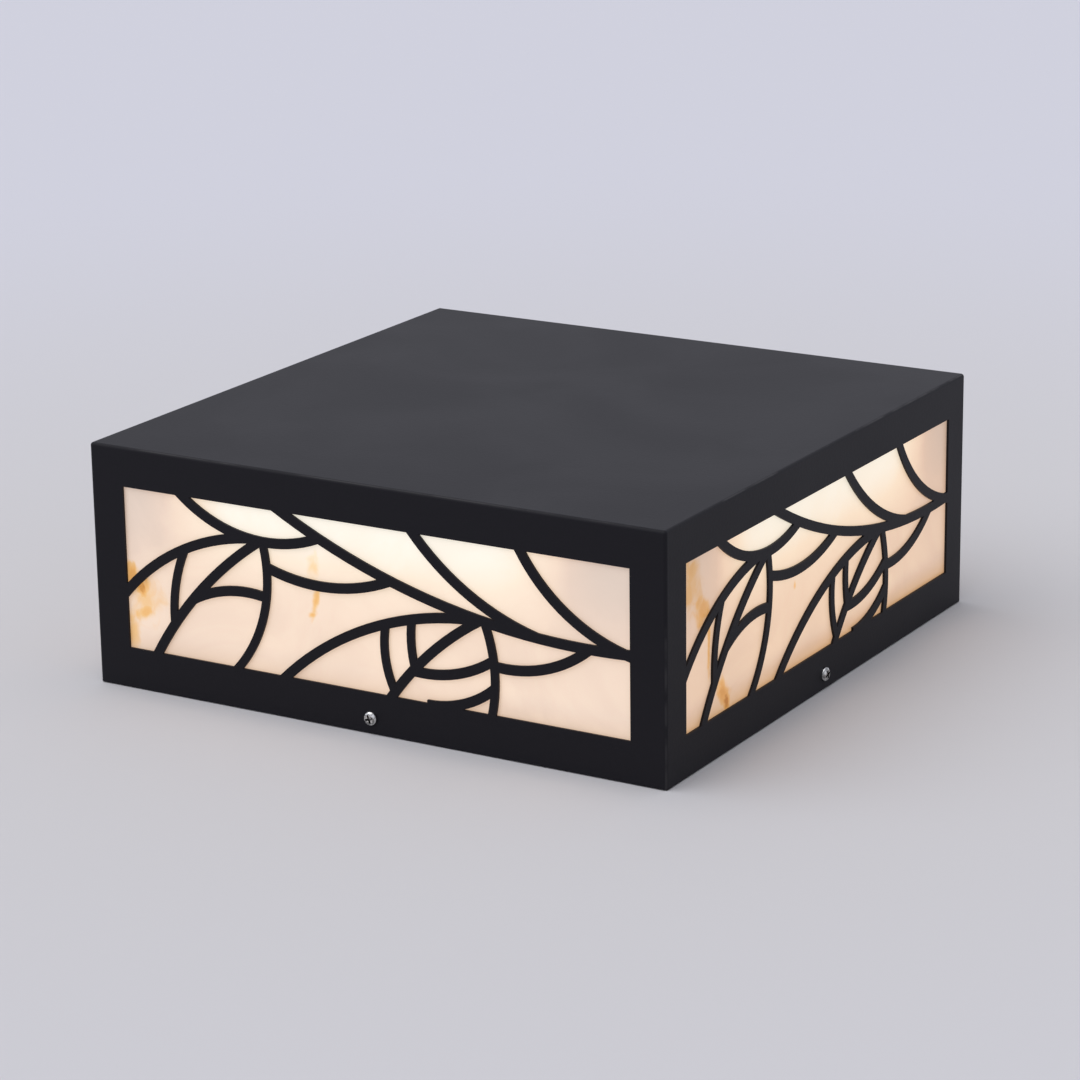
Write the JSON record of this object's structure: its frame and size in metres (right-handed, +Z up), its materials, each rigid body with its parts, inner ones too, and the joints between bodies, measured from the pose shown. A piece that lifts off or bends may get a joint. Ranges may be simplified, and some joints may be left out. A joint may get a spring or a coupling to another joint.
{
  "type": "gate pillar light",
  "caption": "Square black sheet-metal pillar light with leaf tracery over lit marble-effect panels; the cover lifts off a bolted base plate that carries a screw-in lamp.",
  "frame": {"origin": "centre of the underside, on the surface that the light stands on", "axes": "+Z up, the pictured front face looks along -Y and the pictured right face along +X"},
  "size_m": [0.4052, 0.4052, 0.154],
  "materials": {
    "black_coat": "matte black powder coat, fine texture",
    "marble_acrylic": "translucent marble-effect acrylic sheet, satin, lit from behind",
    "foam": "closed-cell EPDM foam",
    "zinc_sheet": "zinc-plated sheet steel",
    "bright_steel": "stainless steel fasteners",
    "black_rubber": "moulded EPDM rubber",
    "white_ceramic": "white glazed porcelain",
    "brass": "bright brass",
    "tinned_copper": "tinned copper",
    "lamp_cap": "pressed aluminium lamp cap",
    "black_insulator": "black moulded insulator",
    "white_plastic": "white moulded plastic",
    "opal_plastic": "opal white diffusing plastic, lit",
    "led_board": "white-coated aluminium circuit board",
    "led_chip": "yellow phosphor",
    "brown_insulation": "brown insulation",
    "blue_insulation": "blue insulation",
    "green_yellow_insulation": "green insulation with a yellow stripe"
  },
  "bodies": {
    "base": {"base_plate": "zinc_sheet", "base_gaskets": "foam", "front_angle": "zinc_sheet", "right_angle": "zinc_sheet", "back_angle": "zinc_sheet", "left_angle": "zinc_sheet", "cable_grommet": "black_rubber", "holder_bracket": "zinc_sheet", "bracket_studs": "bright_steel", "bracket_nuts": "bright_steel", "lamp_holder": "white_ceramic", "socket_shell": "brass", "socket_contact": "brass", "holder_screws": "bright_steel", "terminal_block": "white_plastic", "terminal_barrels": "brass", "terminal_screws": "brass", "terminal_fixings": "bright_steel", "live_lead": "brown_insulation", "neutral_lead": "blue_insulation", "earth_lead": "green_yellow_insulation", "earth_stud": "brass", "earth_tag": "tinned_copper", "earth_nut": "bright_steel"},
    "cover": {"top_panel": "black_coat", "front_grille": "black_coat", "right_grille": "black_coat", "back_grille": "black_coat", "left_grille": "black_coat", "front_diffuser": "marble_acrylic", "right_diffuser": "marble_acrylic", "back_diffuser": "marble_acrylic", "left_diffuser": "marble_acrylic", "front_seal": "foam", "right_seal": "foam", "back_seal": "foam", "left_seal": "foam", "diffuser_clips": "zinc_sheet", "clip_studs": "bright_steel", "clip_nuts": "bright_steel", "side_screws": "bright_steel", "side_nuts": "bright_steel"},
    "lamp_cap": {"bulb_cap": "lamp_cap", "bulb_insulator": "black_insulator", "bulb_tip": "tinned_copper"},
    "lamp": {"bulb_housing": "white_plastic", "bulb_globe": "opal_plastic", "led_board": "led_board", "led_chips": "led_chip"}
  },
  "joints": [
    {"name": "cover_lift", "type": "slide", "parent": "base", "child": "cover", "axis": [0, 0, 1], "range_m": [0, 0.18]},
    {"name": "lamp_rise", "type": "slide", "parent": "base", "child": "lamp_cap", "axis": [0, 0, 1], "range_m": [0, 0.0095]},
    {"name": "lamp_turn", "type": "hinge", "parent": "lamp_cap", "child": "lamp", "pos_m": [0, 0, 0.0325], "axis": [0, 0, 1], "range_deg": [0, 900]}
  ],
  "couplings": [
    {"joint": "lamp_rise", "follows": "lamp_turn", "m_per_rad": 0.00057757}
  ]
}
